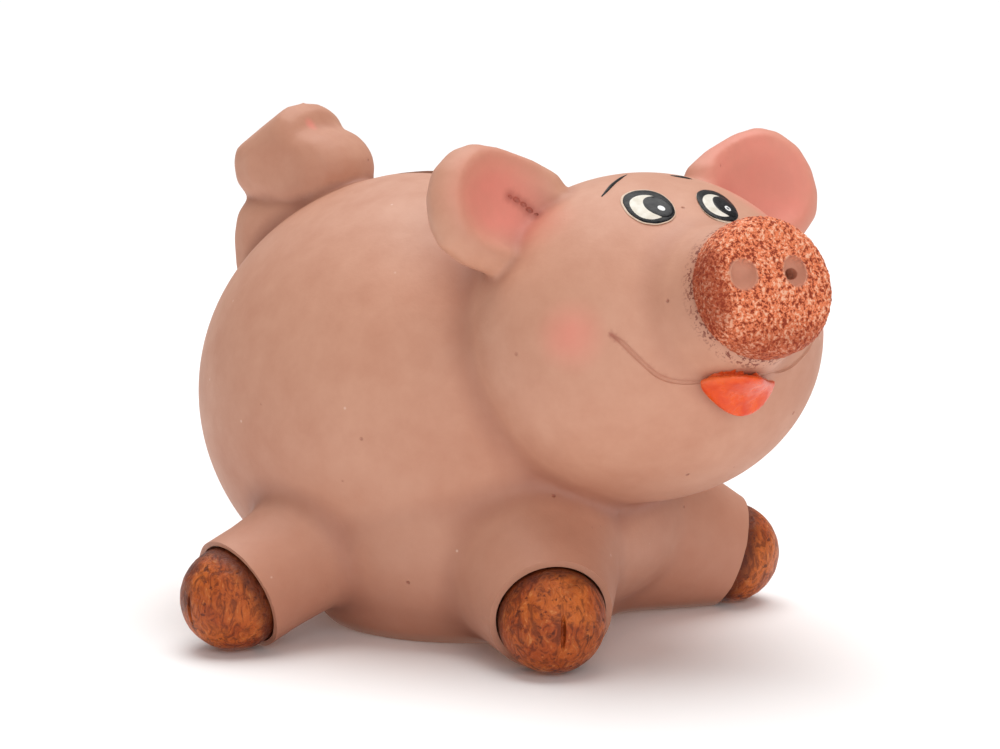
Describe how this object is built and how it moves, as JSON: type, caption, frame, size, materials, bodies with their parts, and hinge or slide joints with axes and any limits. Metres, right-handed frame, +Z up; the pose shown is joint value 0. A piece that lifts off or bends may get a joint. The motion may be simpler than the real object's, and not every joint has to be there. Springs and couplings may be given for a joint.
{
  "type": "piggy bank",
  "caption": "Hollow clay pig money bank lying on its belly, with a coin slot along its back, a vented nostril and a soft pull-out stopper under its belly.",
  "frame": {"origin": "on the resting plane, under the middle of the bounding box", "axes": "+Z up; the pig's snout points along -Y and its tail is at +Y; the pig's left side is at +X"},
  "size_m": [0.1156, 0.1344, 0.0921],
  "materials": {
    "skin": "matt salmon paint over fired clay",
    "ear": "matt salmon paint with a rosy hollow",
    "snout": "matt, stippled with dark red specks",
    "tongue": "glossy orange-red enamel",
    "hoof": "brushed brown stain over orange clay, satin",
    "stopper": "soft translucent off-white, matt"
  },
  "bodies": {
    "pig": {"body_shell": "skin", "head_shell": "skin", "snout": "snout", "tongue": "tongue", "ear_right": "ear", "ear_left": "ear", "tail": "skin", "leg_front_right": "skin", "leg_front_left": "skin", "leg_rear_right": "skin", "leg_rear_left": "skin", "hoof_front_right": "hoof", "hoof_front_left": "hoof", "hoof_rear_right": "hoof", "hoof_rear_left": "hoof"},
    "stopper": {"stopper": "stopper"}
  },
  "joints": [
    {"name": "stopper_pull", "type": "slide", "parent": "pig", "child": "stopper", "axis": [0, 0, -1], "range_m": [0, 0.03]}
  ]
}
